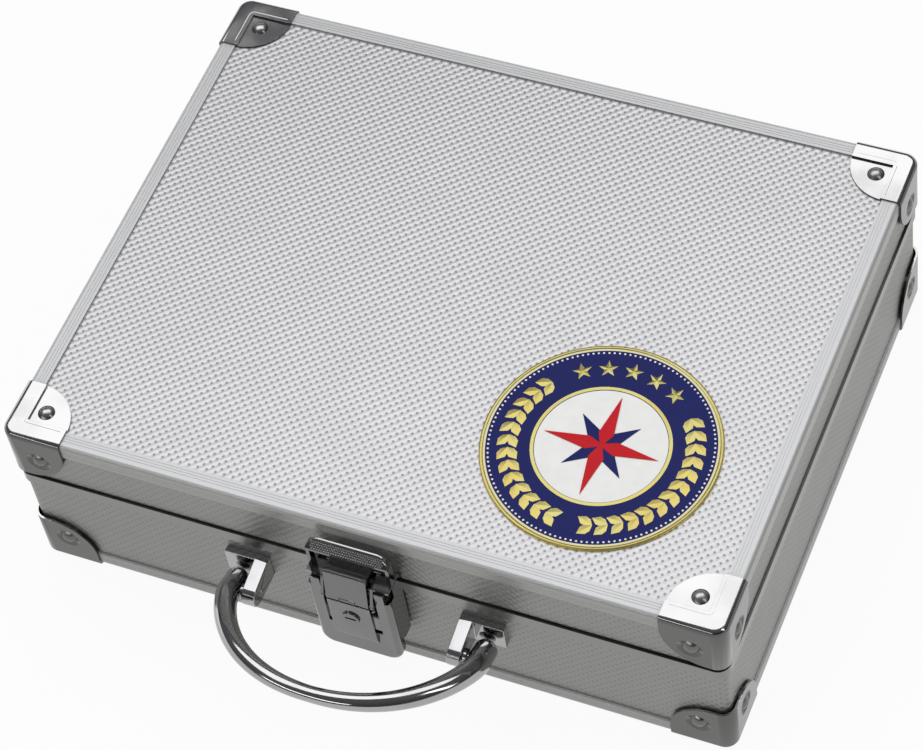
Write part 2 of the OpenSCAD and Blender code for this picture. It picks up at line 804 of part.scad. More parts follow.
module latch_catch() {
    out = catch_t - rail_t;
    tip = lever_in - lever_gap;
    color("gainsboro") difference() {
        across(-catch_hw, catch_hw) polygon([
            [-rail_t, catch_z[0]], [out, catch_z[0]], [out, tongue_z[0]], [tip, tongue_z[0]],
            [tip, tongue_z[1]], [tip - tongue_t, tongue_z[1]], [tip - tongue_t, tongue_z[0] + catch_t],
            [out, tongue_z[0] + catch_t], [out, catch_z[1]], [-rail_t, catch_z[1]]
        ]);
        for (sx = [-1, 1]) on_front(sx * catch_rivet_x, 0, catch_rivet_z) drill(wall);
    }
}

// Lock: the barrel turns in the key plate and carries the cam behind it
cam_out = 4;
cam_t = 1;
cam_x = [-2, 7.5];
cam_hh = 2;
key_slot = [3.8, 0.9];

module lock_barrel() {
    face = cover_out + 2;
    color("silver") difference() {
        on_front(0, cam_out, lock_z) cylinder(h = face - cam_out, r = barrel_r);
        translate([-key_slot[0] / 2, front_y - face - 1, lock_z - key_slot[1] / 2])
            cube([key_slot[0], 4, key_slot[1]]);
    }
}

module lock_cam() {
    color("dimgray") across(cam_x[0], cam_x[1])
        translate([cam_out - cam_t, lock_z - cam_hh]) square([cam_t, 2 * cam_hh]);
}

// Hinges: the base leaf has the two outer knuckles and the lid leaf the middle one
knuckle_hw = 5;
knuckle_gap = 0.2;
hinge_pin_r = 1.2;
leaf_h = 14;

module hinge_cylinder(x0, x1, r) {
    translate([x0, back_y + hinge_out, hinge_z]) rotate([0, 90, 0]) cylinder(h = x1 - x0, r = r);
}

module base_hinge_leaf(sx) {
    hw = hinge_w / 2;
    color("lightgray") translate([sx * hinge_x, 0, 0]) difference() {
        union() {
            translate([-hw, back_y, hinge_z - leaf_h]) cube([hinge_w, hinge_leaf_t, leaf_h]);
            translate([-hw, back_y - rail_t, hinge_z - leaf_h])
                cube([hinge_w, rail_t + eps, leaf_h - rim_h - seam_gap]);
            both_sides() hinge_cylinder(knuckle_hw + knuckle_gap, hw, knuckle_r);
        }
        hinge_cylinder(-knuckle_hw - knuckle_gap, knuckle_hw + knuckle_gap, knuckle_r + 0.3);
        hinge_cylinder(-far, far, hinge_pin_r);
        for (s = [-1, 1]) on_back(s * hinge_rivet_x, hinge_leaf_t, base_hinge_rivet_z) drill(wall + 2);
    }
}

module lid_hinge_leaf(sx) {
    hw = hinge_w / 2;
    z0 = lid_bottom;
    color("lightgray") translate([sx * hinge_x, 0, 0]) difference() {
        union() {
            translate([-hw, back_y - rail_t, z0]) cube([hinge_w, hinge_leaf_t + rail_t, leaf_h]);
            hinge_cylinder(-knuckle_hw, knuckle_hw, knuckle_r);
        }
        both_sides() hinge_cylinder(knuckle_hw, far, knuckle_r + 0.3);
        hinge_cylinder(-far, far, hinge_pin_r + run_gap);
        for (s = [-1, 1]) on_back(s * hinge_rivet_x, hinge_leaf_t, lid_hinge_rivet_z) drill(wall + 2);
    }
}

module hinge_pins() {
    color("dimgray") for (sx = [-1, 1])
        translate([sx * hinge_x, 0, 0]) hinge_cylinder(-hinge_w / 2, hinge_w / 2, hinge_pin_r);
}

base_bottom_panel();
base_front_panel();
base_back_panel();
base_side_panel(-1);  // base_left_panel
base_side_panel(1);  // base_right_panel
long_rail(-1, -1);  // base_front_rail
long_rail(1, -1);  // base_back_rail
short_rail(-1, -1);  // base_left_rail
short_rail(1, -1);  // base_right_rail
base_rim_frame();
placed_cap(-1, -1, -1);  // base_corner_front_left
placed_cap(1, -1, -1);  // base_corner_front_right
placed_cap(-1, 1, -1);  // base_corner_back_left
placed_cap(1, 1, -1);  // base_corner_back_right
base_rivets();
base_lining();
coin_tray(1);  // coin_tray_1
coin_tray(2);  // coin_tray_2
coin_tray(3);  // coin_tray_3
coin_tray(4);  // coin_tray_4
coin_tray(5);  // coin_tray_5
coin_tray(6);  // coin_tray_6
lid_top_panel();
lid_front_panel();
lid_back_panel();
lid_side_panel(-1);  // lid_left_panel
lid_side_panel(1);  // lid_right_panel
long_rail(-1, 1);  // lid_front_rail
long_rail(1, 1);  // lid_back_rail
short_rail(-1, 1);  // lid_left_rail
short_rail(1, 1);  // lid_right_rail
lid_rim_frame();
placed_cap(-1, -1, 1);  // lid_corner_front_left
placed_cap(1, -1, 1);  // lid_corner_front_right
placed_cap(-1, 1, 1);  // lid_corner_back_left
placed_cap(1, 1, 1);  // lid_corner_back_right
lid_rivets();
lid_lining();
lid_pad();
badge();
handle();
mirror([1, 0, 0]) bracket();  // handle_bracket_left
bracket();  // handle_bracket_right
handle_pins();
latch_base();
latch_cover();
latch_face();
latch_pin();
latch_lever();
latch_claw();
latch_catch();
lock_barrel();
lock_cam();
base_hinge_leaf(-1);  // base_hinge_leaf_left
base_hinge_leaf(1);  // base_hinge_leaf_right
lid_hinge_leaf(-1);  // lid_hinge_leaf_left
lid_hinge_leaf(1);  // lid_hinge_leaf_right
hinge_pins();
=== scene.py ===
import json
import math

import bmesh
import bpy
from mathutils import Matrix, Quaternion, Vector

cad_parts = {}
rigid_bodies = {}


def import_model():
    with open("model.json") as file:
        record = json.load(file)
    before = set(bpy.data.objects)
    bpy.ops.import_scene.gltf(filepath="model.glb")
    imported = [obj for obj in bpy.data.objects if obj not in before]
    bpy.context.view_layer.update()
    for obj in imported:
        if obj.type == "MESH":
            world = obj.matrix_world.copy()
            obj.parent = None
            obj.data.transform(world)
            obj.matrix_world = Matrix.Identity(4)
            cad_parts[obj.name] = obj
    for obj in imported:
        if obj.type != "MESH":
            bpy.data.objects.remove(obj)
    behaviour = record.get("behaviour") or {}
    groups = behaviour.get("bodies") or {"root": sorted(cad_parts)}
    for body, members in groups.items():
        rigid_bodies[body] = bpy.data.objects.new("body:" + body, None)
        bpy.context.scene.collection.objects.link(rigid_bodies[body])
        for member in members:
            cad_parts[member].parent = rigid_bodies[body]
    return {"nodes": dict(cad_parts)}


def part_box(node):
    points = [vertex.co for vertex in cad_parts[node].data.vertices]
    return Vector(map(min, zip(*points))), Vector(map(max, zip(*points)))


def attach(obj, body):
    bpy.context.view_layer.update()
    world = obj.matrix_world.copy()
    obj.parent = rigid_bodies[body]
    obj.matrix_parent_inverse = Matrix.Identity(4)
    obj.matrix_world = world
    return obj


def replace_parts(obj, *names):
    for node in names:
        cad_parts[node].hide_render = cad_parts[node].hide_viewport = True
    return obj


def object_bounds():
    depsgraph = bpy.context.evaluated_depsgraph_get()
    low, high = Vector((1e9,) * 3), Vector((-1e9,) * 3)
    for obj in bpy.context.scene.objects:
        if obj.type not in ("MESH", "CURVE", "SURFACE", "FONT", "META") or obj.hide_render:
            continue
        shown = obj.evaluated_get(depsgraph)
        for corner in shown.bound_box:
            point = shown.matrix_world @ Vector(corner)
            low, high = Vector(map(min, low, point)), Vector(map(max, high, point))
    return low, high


for leftover in list(bpy.data.objects):
    bpy.data.objects.remove(leftover)
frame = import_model()
nodes = frame["nodes"]
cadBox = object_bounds()
mm = 0.001
scene = bpy.context.scene
scene.view_settings.view_transform = "Standard"
print("frame loaded:", len(nodes), "nodes")


# camera, from the photograph's perspective

cameraSettings = {
    "place": (0.33193, -0.54206, 0.92490),
    "target": (0.01139, -0.01047, 0.07030),
    "roll": -11.11,  # degrees
    "lens": 129.4,
    "sensor": 36,
    "nearest": 0.05,
    "farthest": 40,
}


def makeCamera(s):
    data = bpy.data.cameras.new("camera")
    data.lens = s["lens"]
    data.sensor_width = s["sensor"]
    data.clip_start = s["nearest"]
    data.clip_end = s["farthest"]
    camera = bpy.data.objects.new("camera", data)
    scene.collection.objects.link(camera)
    look = Vector(s["target"]) - Vector(s["place"])
    camera.rotation_mode = "QUATERNION"
    camera.location = s["place"]
    roll = Quaternion((0, 0, 1), math.radians(s["roll"]))
    camera.rotation_quaternion = look.to_track_quat("-Z", "Y") @ roll
    scene.camera = camera


makeCamera(cameraSettings)
print("camera set")


# shader helpers

def addNode(tree, kind, **values):
    node = tree.nodes.new(kind)
    for name, value in values.items():
        setattr(node, name, value)
    return node


def connect(tree, source, socket):
    if isinstance(source, bpy.types.NodeSocket):
        tree.links.new(source, socket)
    else:
        socket.default_value = source


def calc(tree, operation, a, b=0.0, c=0.0):
    node = addNode(tree, "ShaderNodeMath", operation=operation)
    for socket, value in zip(node.inputs, (a, b, c)):
        connect(tree, value, socket)
    return node.outputs[0]


def smoothRange(tree, value, low, high, toLow=0.0, toHigh=1.0):
    node = addNode(tree, "ShaderNodeMapRange", interpolation_type="SMOOTHSTEP")
    names = ("Value", "From Min", "From Max", "To Min", "To Max")
    for name, source in zip(names, (value, low, high, toLow, toHigh)):
        connect(tree, source, node.inputs[name])
    return node.outputs["Result"]


def mixColour(tree, factor, a, b):
    node = addNode(tree, "ShaderNodeMix", data_type="RGBA")
    connect(tree, factor, node.inputs[0])
    connect(tree, a, node.inputs[6])
    connect(tree, b, node.inputs[7])
    return node.outputs[2]


def noise(tree, vector, scale, detail):
    node = addNode(tree, "ShaderNodeTexNoise")
    connect(tree, vector, node.inputs["Vector"])
    node.inputs["Scale"].default_value = scale
    node.inputs["Detail"].default_value = detail
    return node.outputs["Fac"]


def stretched(tree, vector, scale):
    node = addNode(tree, "ShaderNodeMapping")
    connect(tree, vector, node.inputs["Vector"])
    node.inputs["Scale"].default_value = scale
    return node.outputs["Vector"]


def newGroup(name, inputs, outputs):
    tree = bpy.data.node_groups.new(name, "ShaderNodeTree")
    for label, kind in inputs:
        tree.interface.new_socket(name=label, in_out="INPUT", socket_type=kind)
    for label, kind in outputs:
        tree.interface.new_socket(name=label, in_out="OUTPUT", socket_type=kind)
    source = addNode(tree, "NodeGroupInput")
    target = addNode(tree, "NodeGroupOutput")
    return tree, source.outputs, target.inputs


def useGroup(tree, group, **values):
    node = addNode(tree, "ShaderNodeGroup", node_tree=group)
    for name, source in values.items():
        connect(tree, source, node.inputs[name])
    return node.outputs


def newMaterial(name, colour, metallic, roughness):
    material = bpy.data.materials.new(name)
    material.use_nodes = True
    material.diffuse_color = colour
    tree = material.node_tree
    shader = tree.nodes["Principled BSDF"]
    shader.inputs["Base Color"].default_value = colour
    shader.inputs["Metallic"].default_value = metallic
    shader.inputs["Roughness"].default_value = roughness
    place = addNode(tree, "ShaderNodeTexCoord").outputs["Object"]
    return material, tree, shader, place


def addBump(tree, shader, height, distance):
    bump = addNode(tree, "ShaderNodeBump")
    bump.inputs["Distance"].default_value = distance
    connect(tree, height, bump.inputs["Height"])
    connect(tree, bump.outputs["Normal"], shader.inputs["Normal"])


# shader groups that several materials share

def makeLatticeGroup():
    # staggered pits: cos(u) * cos(v) peaks on a grid turned by 45 degrees
    tree, given, result = newGroup(
        "embossedLattice",
        [("Vector", "NodeSocketVector"), ("Pitch", "NodeSocketFloat")],
        [("Pit", "NodeSocketFloat"), ("Height", "NodeSocketFloat")],
    )
    split = addNode(tree, "ShaderNodeSeparateXYZ")
    connect(tree, given["Vector"], split.inputs[0])
    turns = calc(tree, "DIVIDE", 2 * math.pi, given["Pitch"])
    waveU = calc(tree, "COSINE", calc(tree, "MULTIPLY", split.outputs[0], turns))
    waveV = calc(tree, "COSINE", calc(tree, "MULTIPLY", split.outputs[1], turns))
    wave = calc(tree, "MULTIPLY", waveU, waveV)
    uneven = noise(tree, given["Vector"], scale=900, detail=1)
    # the pit mask darkens the colour inside the pits as painted shade
    pit = smoothRange(tree, calc(tree, "MULTIPLY_ADD", uneven, 0.3, wave), 0.48, 1.02)
    connect(tree, pit, result["Pit"])
    connect(tree, calc(tree, "MULTIPLY", wave, -1.0), result["Height"])
    return tree


def makeBrushedGroup():
    # fine lines along one axis, from noise stretched along it
    tree, given, result = newGroup(
        "brushedLines",
        [("Vector", "NodeSocketVector"), ("Roughness", "NodeSocketFloat"), ("Spread", "NodeSocketFloat")],
        [("Roughness", "NodeSocketFloat"), ("Height", "NodeSocketFloat"), ("Shade", "NodeSocketFloat")],
    )
    fine = noise(tree, given["Vector"], scale=1200, detail=2)
    broad = noise(tree, given["Vector"], scale=140, detail=2)
    both = calc(tree, "MULTIPLY_ADD", broad, 0.5, calc(tree, "MULTIPLY", fine, 0.5))
    offset = calc(tree, "MULTIPLY", calc(tree, "SUBTRACT", both, 0.5), given["Spread"])
    connect(tree, calc(tree, "ADD", given["Roughness"], offset), result["Roughness"])
    connect(tree, fine, result["Height"])
    connect(tree, both, result["Shade"])
    return tree


def makeHandlingGroup():
    # soft smudges and a few hairline scratches, as on plated parts that are touched
    tree, given, result = newGroup(
        "handlingMarks",
        [("Vector", "NodeSocketVector"), ("Roughness", "NodeSocketFloat"), ("Amount", "NodeSocketFloat")],
        [("Roughness", "NodeSocketFloat"), ("Smudge", "NodeSocketFloat")],
    )
    smudge = smoothRange(tree, noise(tree, given["Vector"], scale=55, detail=4), 0.42, 0.72)
    lines = noise(tree, stretched(tree, given["Vector"], (1.0, 9.0, 4.0)), scale=420, detail=2)
    scratch = smoothRange(tree, lines, 0.66, 0.74)
    extra = calc(tree, "MULTIPLY", calc(tree, "MULTIPLY_ADD", scratch, 0.5, smudge), given["Amount"])
    connect(tree, calc(tree, "ADD", given["Roughness"], extra), result["Roughness"])
    connect(tree, smudge, result["Smudge"])
    return tree


def makePileGroup():
    # short pile that lies different ways in patches
    tree, given, result = newGroup(
        "velvetPile",
        [("Vector", "NodeSocketVector")],
        [("Lay", "NodeSocketFloat"), ("Height", "NodeSocketFloat")],
    )
    lay = smoothRange(tree, noise(tree, given["Vector"], scale=30, detail=3), 0.35, 0.68)
    fibre = noise(tree, given["Vector"], scale=2600, detail=2)
    connect(tree, lay, result["Lay"])
    connect(tree, fibre, result["Height"])
    return tree


latticeGroup = makeLatticeGroup()
brushedGroup = makeBrushedGroup()
handlingGroup = makeHandlingGroup()
pileGroup = makePileGroup()


# materials

panelSettings = {
    "pitch": 3.1 * mm,
    "topGround": (0.95, 0.945, 0.965, 1),
    # the pit colours paint shade inside the pits
    "topPit": (0.44, 0.44, 0.46, 1),
    "topDepth": 0.07 * mm,
    # the side colours are darker copies of the top ones, as painted shade
    "sideGround": (0.265, 0.268, 0.254, 1),
    "sidePit": (0.205, 0.206, 0.195, 1),
    "sideDepth": 0.05 * mm,
    "metal": 0.85,
    "roughness": 0.42,
    "marks": 0.02,
    "cloudScale": 14,
    "cloudShare": 0.02,
}


def panelMaterial(name, axes, face, s):
    # axes names the two object axes that the sheet lies along
    ground, pit = s[face + "Ground"], s[face + "Pit"]
    material, tree, shader, place = newMaterial(name, ground, s["metal"], s["roughness"])
    split = addNode(tree, "ShaderNodeSeparateXYZ")
    connect(tree, place, split.inputs[0])
    flat = addNode(tree, "ShaderNodeCombineXYZ")
    connect(tree, split.outputs["XYZ".index(axes[0])], flat.inputs[0])
    connect(tree, split.outputs["XYZ".index(axes[1])], flat.inputs[1])
    lattice = useGroup(tree, latticeGroup, Vector=flat.outputs[0], Pitch=s["pitch"])
    marks = useGroup(tree, handlingGroup, Vector=place, Roughness=s["roughness"], Amount=s["marks"])
    cloud = noise(tree, place, scale=s["cloudScale"], detail=2)
    shaded = mixColour(tree, smoothRange(tree, cloud, 0.3, 0.7, 0.0, s["cloudShare"]), ground, pit)
    # painted shade: the pits take the darker pit colour
    connect(tree, mixColour(tree, lattice["Pit"], shaded, pit), shader.inputs["Base Color"])
    connect(tree, marks["Roughness"], shader.inputs["Roughness"])
    addBump(tree, shader, lattice["Height"], s[face + "Depth"])
    return material


def upward(tree, sideways=0.55, up=0.97):
    # 1 where the surface looks up, 0 where it looks sideways or down; the materials use it to paint shade on
    # the faces that don't look up
    split = addNode(tree, "ShaderNodeSeparateXYZ")
    connect(tree, addNode(tree, "ShaderNodeTexCoord").outputs["Normal"], split.inputs[0])
    return smoothRange(tree, split.outputs[2], sideways, up)


railSettings = {
    "colour": (0.76, 0.765, 0.775, 1),
    "paintedSideShade": (0.34, 0.34, 0.33, 1),  # painted shade: the colour of the faces that look sideways
    "metal": 0.4,
    "roughness": 0.30,
    "spread": 0.22,
    "lineShare": 0.16,
    "lineDepth": 0.01 * mm,
}
# the rim strip and hinge leaves take darker copies of the rail colours, as painted shade
rimSettings = {**railSettings, "colour": (0.42, 0.42, 0.42, 1), "paintedSideShade": (0.25, 0.25, 0.242, 1), "metal": 1.0}


def railMaterial(name, stretch, s):
    material, tree, shader, place = newMaterial(name, s["colour"], s["metal"], s["roughness"])
    along = stretched(tree, place, stretch)
    lines = useGroup(tree, brushedGroup, Vector=along, Roughness=s["roughness"], Spread=s["spread"])
    connect(tree, lines["Roughness"], shader.inputs["Roughness"])
    # painted shade: faces that look sideways take the darker colour
    paintedFacingShade = mixColour(tree, upward(tree), s["paintedSideShade"], s["colour"])
    darker = mixColour(tree, s["lineShare"], paintedFacingShade, (0, 0, 0, 1))
    connect(tree, mixColour(tree, lines["Shade"], darker, paintedFacingShade), shader.inputs["Base Color"])
    addBump(tree, shader, lines["Height"], s["lineDepth"])
    return material


def platedMaterial(name, colour, paintedSideShade, roughness, amount):
    # the second colour is painted shade for the faces that look sideways; amount is how much the marks
    # roughen it
    material, tree, shader, place = newMaterial(name, colour, 1.0, roughness)
    marks = useGroup(tree, handlingGroup, Vector=place, Roughness=roughness, Amount=amount)
    connect(tree, marks["Roughness"], shader.inputs["Roughness"])
    # painted shade: faces that look sideways take the darker colour
    paintedFacingShade = mixColour(tree, upward(tree), paintedSideShade, colour)
    dull = mixColour(tree, 0.1, paintedFacingShade, (0, 0, 0, 1))
    connect(tree, mixColour(tree, marks["Smudge"], paintedFacingShade, dull), shader.inputs["Base Color"])
    return material


velvetSettings = {
    "roughness": 0.85,
    "sheen": 0.6,
    "sheenRoughness": 0.4,
    "sheenTint": (1.0, 0.55, 0.55, 1),
    "pile": 0.12 * mm,
}


def velvetMaterial(name, colour, lit, s):
    # lit is the colour where the pile lies towards the light
    material, tree, shader, place = newMaterial(name, colour, 0.0, s["roughness"])
    pile = useGroup(tree, pileGroup, Vector=place)
    connect(tree, mixColour(tree, pile["Lay"], colour, lit), shader.inputs["Base Color"])
    shader.inputs["Sheen Weight"].default_value = s["sheen"]
    shader.inputs["Sheen Roughness"].default_value = s["sheenRoughness"]
    shader.inputs["Sheen Tint"].default_value = s["sheenTint"]
    addBump(tree, shader, pile["Height"], s["pile"])
    return material


topPanel = panelMaterial("embossed lid sheet", "XY", "top", panelSettings)
# the front and side sheets take the darker side colours: painted shade
frontPanel = panelMaterial("embossed front sheet with painted shade", "XZ", "side", panelSettings)
sidePanel = panelMaterial("embossed side sheet with painted shade", "YZ", "side", panelSettings)
longRail = railMaterial("rail along the width", (0.02, 1.0, 1.0), railSettings)
shortRail = railMaterial("rail along the depth", (1.0, 0.02, 1.0), railSettings)
rimRail = railMaterial("rim strip", (0.05, 0.05, 1.0), rimSettings)
# each finish gives a colour for faces that look up and a darker one for faces that look sideways: painted
# shade
nickel = platedMaterial("polished nickel", (0.86, 0.86, 0.86, 1), (0.12, 0.12, 0.117, 1), 0.10, 0.10)
rivetMetal = platedMaterial("rivet steel", (0.80, 0.80, 0.80, 1), (0.16, 0.16, 0.157, 1), 0.26, 0.12)
# the crease material paints shade into the dark line at the step's foot
creaseMetal = platedMaterial("shaded crease", (0.10, 0.10, 0.10, 1), (0.07, 0.07, 0.07, 1), 0.4, 0.05)
# the step nickel's slope is nearly black as painted shade
stepMetal = platedMaterial("nickel step with painted shade", (0.88, 0.88, 0.88, 1), (0.07, 0.07, 0.07, 1), 0.12, 0.05)
chrome = platedMaterial("polished chrome", (0.80, 0.80, 0.81, 1), (0.38, 0.38, 0.38, 1), 0.09, 0.10)
# the latch takes a darker copy of the chrome as painted shade
latchChromePaintedShade = platedMaterial("latch chrome with painted shade", (0.70, 0.70, 0.70, 1), (0.17, 0.17, 0.168, 1), 0.10, 0.10)
knurled = platedMaterial("knurled chrome", (0.70, 0.70, 0.70, 1), (0.42, 0.42, 0.42, 1), 0.2, 0.05)
darkSteel = platedMaterial("plain steel", (0.22, 0.22, 0.23, 1), (0.16, 0.16, 0.165, 1), 0.35, 0.15)
velvet = velvetMaterial("dark red velvet", (0.11, 0.004, 0.008, 1), (0.17, 0.008, 0.014, 1), velvetSettings)
flock = velvetMaterial("flocked tray", (0.13, 0.005, 0.010, 1), (0.19, 0.010, 0.018, 1), velvetSettings)

cornerCaps = [name for name in nodes if "_corner_" in name]
hingeLeaves = [name for name in nodes if "_hinge_leaf_" in name]
latchPlates = ["latch_base", "latch_cover", "latch_face", "latch_lever", "latch_claw", "latch_catch"]

finishes = [
    (topPanel, ["lid_top_panel", "base_bottom_panel"]),
    (frontPanel, ["base_front_panel", "base_back_panel", "lid_front_panel", "lid_back_panel"]),
    (sidePanel, ["base_left_panel", "base_right_panel", "lid_left_panel", "lid_right_panel"]),
    (longRail, ["base_front_rail", "base_back_rail", "lid_front_rail", "lid_back_rail"]),
    (shortRail, ["base_left_rail", "base_right_rail", "lid_left_rail", "lid_right_rail"]),
    (rimRail, ["base_rim_frame", "lid_rim_frame"]),
    (rimRail, hingeLeaves),
    (nickel, cornerCaps),
    (rivetMetal, ["base_rivets", "lid_rivets"]),
    (chrome, ["handle", "handle_bracket_left", "handle_bracket_right", "handle_pins"]),
    (latchChromePaintedShade, latchPlates + ["lock_barrel"]),
    (darkSteel, ["latch_pin", "lock_cam", "hinge_pins"]),
    (velvet, ["base_lining", "lid_lining", "lid_pad"]),
    (flock, [name for name in nodes if name.startswith("coin_tray")]),
]

for material, names in finishes:
    for name in names:
        mesh = nodes[name].data
        mesh.materials.clear()
        mesh.materials.append(material)
print("materials assigned")


# stamped and machined parts get small rounded edges

edgeRadii = [
    (0.32 * mm, cornerCaps),
    (0.30 * mm, ["handle_bracket_left", "handle_bracket_right"]),
    (0.22 * mm, latchPlates),
    (0.15 * mm, ["lock_barrel"] + hingeLeaves),
]


edgeSettings = {
    "weld": 0.002 * mm,
    "segments": 3,
    "angle": 40,  # degrees between two faces above which their edge is rounded
}


def roundEdges(piece, radius, s):
    weld = piece.modifiers.new("weld", "WELD")
    weld.merge_threshold = s["weld"]
    bevel = piece.modifiers.new("rounded edges", "BEVEL")
    bevel.width = radius
    bevel.segments = s["segments"]
    bevel.limit_method = "ANGLE"
    bevel.angle_limit = math.radians(s["angle"])
    bevel.use_clamp_overlap = True
    bevel.harden_normals = True


for radius, names in edgeRadii:
    for name in names:
        roundEdges(nodes[name], radius, edgeSettings)
print("edges rounded")


# pieces made here

weldDistance = 0.001 * mm


def finishPiece(name, bm, material, body, sharp=35.0):
    # sharp is the angle in degrees above which an edge stays hard
    bmesh.ops.remove_doubles(bm, verts=bm.verts, dist=weldDistance)
    bmesh.ops.recalc_face_normals(bm, faces=bm.faces)
    mesh = bpy.data.meshes.new(name)
    bm.to_mesh(mesh)
    bm.free()
    mesh.shade_smooth()
    mesh.set_sharp_from_angle(angle=math.radians(sharp))
    mesh.materials.append(material)
    piece = bpy.data.objects.new(name, mesh)
    scene.collection.objects.link(piece)
    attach(piece, body)
    return piece


def addBox(bm, low, high):
    middle = (Vector(low) + Vector(high)) / 2
    size = Vector(high) - Vector(low)
    bmesh.ops.create_cube(bm, size=1, matrix=Matrix.Translation(middle) @ Matrix.Diagonal((*size, 1)))


# corner caps: the rounded step between the raised border and the rivet's flange

stepSettings = {
    "border": 6.5 * mm,
    "turn": 1.7 * mm,
    "straight": 4 * mm,
    "end": 20.45 * mm,
    "arcSteps": 8,
    "capThickness": 0.7 * mm,
    # across the step and back underneath: distance in from the border, height above the rail's face
    "step": [(-0.35, 0.5), (-0.35, 0.705), (0.0, 0.74), (0.3, 0.66), (0.6, 0.34), (0.85, 0.05), (1.15, -0.07),
             (1.5, -0.095), (1.5, -0.3), (0.1, -0.3)],
    # the dark line at the step's foot, in the same way; its dark colour is painted shade
    "crease": [(0.72, 0.0), (0.82, 0.08), (1.35, 0.06), (1.5, -0.05), (1.5, -0.28), (0.72, -0.28)],
}


def makeCapStep(node, part, material, s):
    low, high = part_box(node)
    right = 1 if "right" in node else -1
    top = 1 if "lid" in node else -1
    back = 1 if "back" in node else -1
    corner = Vector([far if side > 0 else near for side, near, far in zip((right, back, top), low, high)])
    border, turn, end = s["border"], s["turn"], s["end"]
    straight = border + turn + s["straight"]
    path = [((border, end), (1, 0)), ((border, straight), (1, 0))]
    for i in range(s["arcSteps"] + 1):
        angle = math.radians(90 * i / s["arcSteps"])
        inward = (math.cos(angle), math.sin(angle))
        path.append(((border + turn - turn * inward[0], border + turn - turn * inward[1]), inward))
    path += [((straight, border), (0, 1)), ((end, border), (0, 1))]
    bm = bmesh.new()
    rows = []
    for (u, v), (iu, iv) in path:
        row = []
        for across, height in s[part]:
            x = u + iu * across * mm - s["capThickness"]
            y = v + iv * across * mm - s["capThickness"]
            z = s["capThickness"] - height * mm
            row.append(bm.verts.new(corner - Vector((right * x, back * y, top * z))))
        rows.append(row)
    for a, b in zip(rows, rows[1:]):
        for i in range(len(a)):
            j = (i + 1) % len(a)
            bm.faces.new((a[i], a[j], b[j], b[i]))
    bm.faces.new(rows[0])
    bm.faces.new(rows[-1])
    finishPiece(node + "_" + part, bm, material, "lid" if top > 0 else "base", 60)


for name in sorted(cornerCaps):
    makeCapStep(name, "step", stepMetal, stepSettings)
    makeCapStep(name, "crease", creaseMetal, stepSettings)
print("cap steps made")


# handle: a smooth bail that gets thinner from the legs to the crown

bailSettings = {
    "pivot": (0, -85.929, 30.7),  # mm
    "rest": 16.5,  # degrees above level
    "curve": [(43.3, 0), (44.8, 3.4), (34.4, 34.2), (0, 34.2)],  # control points, pin to crown, mm
    "legRadius": 3.95,
    "crownRadius": 2.65,
    "taper": 1.5,
    "steps": 40,
    "sides": 32,
    # rounded end of a leg behind the pin: place along the leg in mm, share of the leg's radius
    "legEnd": [(-7.3, 0.35), (-7.2, 0.52), (-6.9, 0.72), (-6.4, 0.87), (-5.7, 0.96), (-4.6, 1.0),
               (-2.2, 1.0)],
}


def bailRings(s):
    # centre line and radius from one leg's end to the other, in the handle's own plane
    half = [(s["curve"][0][0], y, s["legRadius"] * share) for y, share in s["legEnd"]]
    for i in range(s["steps"] + 1):
        t = i / s["steps"]
        weights = ((1 - t) ** 3, 3 * (1 - t) ** 2 * t, 3 * (1 - t) * t * t, t ** 3)
        x, y = (sum(w * point[axis] for w, point in zip(weights, s["curve"])) for axis in (0, 1))
        half.append((x, y, s["legRadius"] + (s["crownRadius"] - s["legRadius"]) * t ** s["taper"]))
    return half + [(-x, y, r) for x, y, r in half[-2::-1]]


def makeBail(s):
    rings = bailRings(s)
    out = Matrix.Rotation(math.radians(-s["rest"]), 4, "X")
    pivot = Vector(s["pivot"])
    bm = bmesh.new()
    loops = []
    for i, (x, y, r) in enumerate(rings):
        before, after = rings[max(i - 1, 0)], rings[min(i + 1, len(rings) - 1)]
        heading = Vector((after[0] - before[0], after[1] - before[1])).normalized()
        loop = []
        for k in range(s["sides"]):
            a = 2 * math.pi * k / s["sides"]
            aside, up = r * math.cos(a), r * math.sin(a)
            local = Vector((x - heading.y * aside, -(y + heading.x * aside), up))
            loop.append(bm.verts.new((pivot + out @ local) * mm))
        loops.append(loop)
    for a, b in zip(loops, loops[1:]):
        for k in range(s["sides"]):
            j = (k + 1) % s["sides"]
            bm.faces.new((a[k], a[j], b[j], b[k]))
    bm.faces.new(loops[0])
    bm.faces.new(loops[-1])
    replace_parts(finishPiece("bail", bm, chrome, "handle", 60), "handle")


makeBail(bailSettings)
print("bail made")


# latch lever: the knurled band on the thumb tab

knurlSettings = {
    "caseFront": -75.629 * mm,
    "leverFace": -2.9 * mm,  # the lever's inner face, from the case's front
    "halfWidth": 12.6 * mm,
    "inner": 0.9 * mm,  # from the lever's inner face to the band's upper edge
    "outer": 2.85 * mm,  # and to its lower edge
    "upper": 0.45 * mm,  # from the lever's top to the band's upper edge
    "lower": 2.9 * mm,
    "across": 30,
    "rows": 4,
    "studWidth": 0.55,  # half a stud's width, as a share of the pitch
    "studLength": 0.62,  # half its length, as a share of a row
    "height": 0.26 * mm,
}


